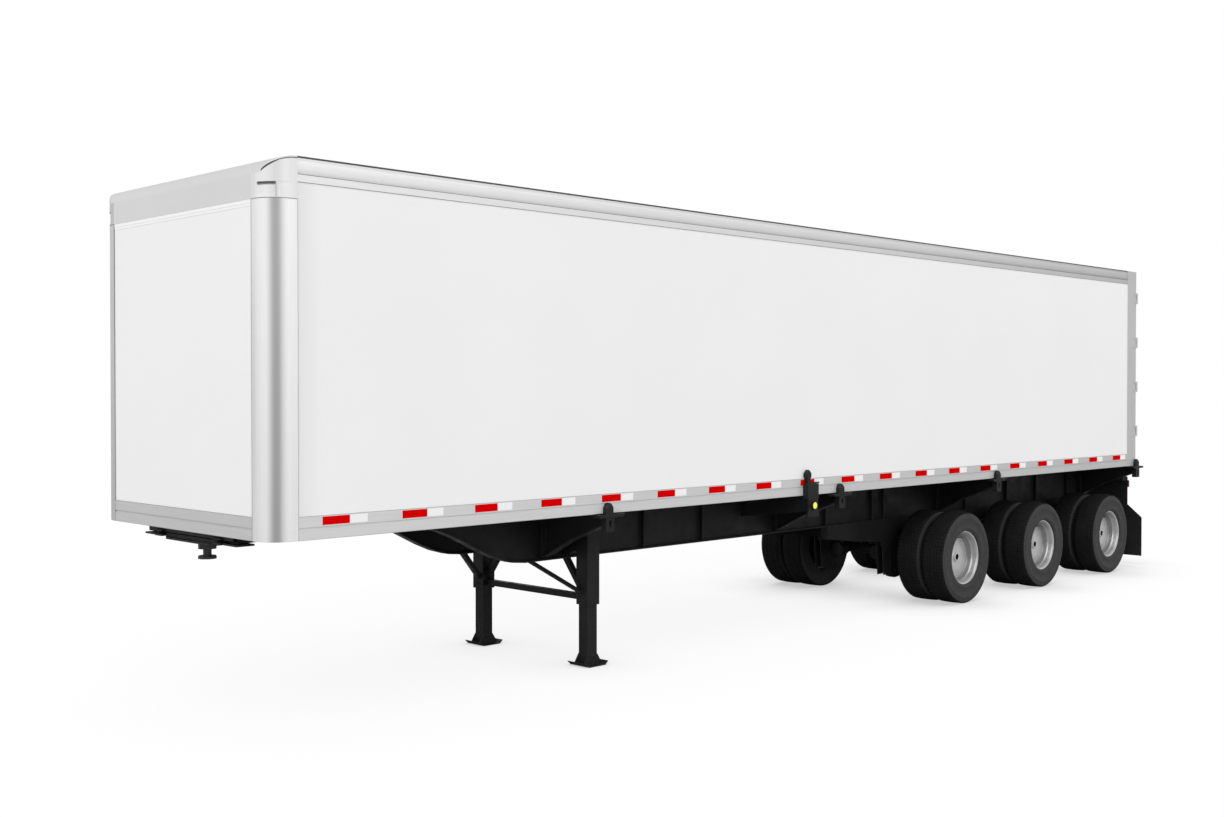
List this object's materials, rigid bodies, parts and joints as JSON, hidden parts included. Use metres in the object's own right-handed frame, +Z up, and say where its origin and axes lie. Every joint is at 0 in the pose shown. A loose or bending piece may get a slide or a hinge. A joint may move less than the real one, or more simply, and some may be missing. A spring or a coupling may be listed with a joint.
{
  "type": "semi trailer",
  "caption": "Dry box locked onto a container chassis with twin-tyred axles, landing legs, a kingpin coupler and swinging rear doors; it carries freight behind a tractor.",
  "frame": {"origin": "on the ground under the middle of the whole trailer's box, length and width", "axes": "+X from the nose to the rear doors, +Y to the curb side, +Z up"},
  "size_m": [14.1, 2.761, 4.134],
  "materials": {
    "white_panel": "gloss white panel",
    "silver_aluminium": "satin extruded aluminium",
    "grey_nose": "satin light grey",
    "black_frame": "semi-gloss black chassis paint",
    "pin_steel": "machined steel",
    "zinc_steel": "zinc-plated lock gear",
    "floor_wood": "oiled laminated hardwood boards",
    "tyre_rubber": "matt black tyre",
    "rim_silver": "silver painted steel disc wheel",
    "flap_rubber": "matt black rubber",
    "tape_red": "red retroreflective tape",
    "tape_white": "white retroreflective tape",
    "lamp_amber": "yellow-amber lamp lens",
    "lamp_red": "red lamp lens"
  },
  "bodies": {
    "trailer": {"side_wall_left": "white_panel", "side_wall_right": "white_panel", "front_wall": "white_panel", "roof": "white_panel", "floor_deck": "floor_wood", "bottom_rail_left": "silver_aluminium", "bottom_rail_right": "silver_aluminium", "top_rail_left": "silver_aluminium", "top_rail_right": "silver_aluminium", "corner_post_left": "silver_aluminium", "corner_post_right": "silver_aluminium", "corner_cap_left": "silver_aluminium", "corner_cap_right": "silver_aluminium", "nose_panel": "grey_nose", "front_sill": "grey_nose", "rear_frame": "silver_aluminium", "main_rail_left": "black_frame", "main_rail_right": "black_frame", "coupler_beam": "black_frame", "kingpin": "pin_steel", "bolster_front": "black_frame", "bolster_middle": "black_frame", "bolster_rear_middle": "black_frame", "bolster_rear": "black_frame", "marker_post_left": "black_frame", "marker_post_right": "black_frame", "landing_leg_left": "black_frame", "landing_leg_right": "black_frame", "landing_brace": "black_frame", "subframe_left": "black_frame", "subframe_right": "black_frame", "axle_1": "black_frame", "axle_2": "black_frame", "axle_3": "black_frame", "mudflap_left": "flap_rubber", "mudflap_right": "flap_rubber", "rear_guard": "black_frame"},
    "left_door": {"door_left": "white_panel"},
    "right_door": {"door_right": "white_panel"},
    "twin_wheel_1_left": {"wheel_1_left": "rim_silver", "tyre_1_left_outer": "tyre_rubber", "tyre_1_left_inner": "tyre_rubber"},
    "twin_wheel_1_right": {"wheel_1_right": "rim_silver", "tyre_1_right_outer": "tyre_rubber", "tyre_1_right_inner": "tyre_rubber"},
    "twin_wheel_2_left": {"wheel_2_left": "rim_silver", "tyre_2_left_outer": "tyre_rubber", "tyre_2_left_inner": "tyre_rubber"},
    "twin_wheel_2_right": {"wheel_2_right": "rim_silver", "tyre_2_right_outer": "tyre_rubber", "tyre_2_right_inner": "tyre_rubber"},
    "twin_wheel_3_left": {"wheel_3_left": "rim_silver", "tyre_3_left_outer": "tyre_rubber", "tyre_3_left_inner": "tyre_rubber"},
    "twin_wheel_3_right": {"wheel_3_right": "rim_silver", "tyre_3_right_outer": "tyre_rubber", "tyre_3_right_inner": "tyre_rubber"}
  },
  "joints": [
    {"name": "door_left_hinge", "type": "hinge", "parent": "trailer", "child": "left_door", "pos_m": [6.718, -1.2895, 2.84], "axis": [0, 0, -1], "range_deg": [0, 270]},
    {"name": "door_right_hinge", "type": "hinge", "parent": "trailer", "child": "right_door", "pos_m": [6.718, 1.2895, 2.84], "axis": [0, 0, 1], "range_deg": [0, 270]},
    {"name": "wheel_1_left_spin", "type": "hinge", "parent": "trailer", "child": "twin_wheel_1_left", "pos_m": [2.13, -1.01, 0.533], "axis": [0, 1, 0], "continuous": true},
    {"name": "wheel_1_right_spin", "type": "hinge", "parent": "trailer", "child": "twin_wheel_1_right", "pos_m": [2.13, 1.01, 0.533], "axis": [0, 1, 0], "continuous": true},
    {"name": "wheel_2_left_spin", "type": "hinge", "parent": "trailer", "child": "twin_wheel_2_left", "pos_m": [4, -1.01, 0.533], "axis": [0, 1, 0], "continuous": true},
    {"name": "wheel_2_right_spin", "type": "hinge", "parent": "trailer", "child": "twin_wheel_2_right", "pos_m": [4, 1.01, 0.533], "axis": [0, 1, 0], "continuous": true},
    {"name": "wheel_3_left_spin", "type": "hinge", "parent": "trailer", "child": "twin_wheel_3_left", "pos_m": [5.87, -1.01, 0.533], "axis": [0, 1, 0], "continuous": true},
    {"name": "wheel_3_right_spin", "type": "hinge", "parent": "trailer", "child": "twin_wheel_3_right", "pos_m": [5.87, 1.01, 0.533], "axis": [0, 1, 0], "continuous": true}
  ]
}
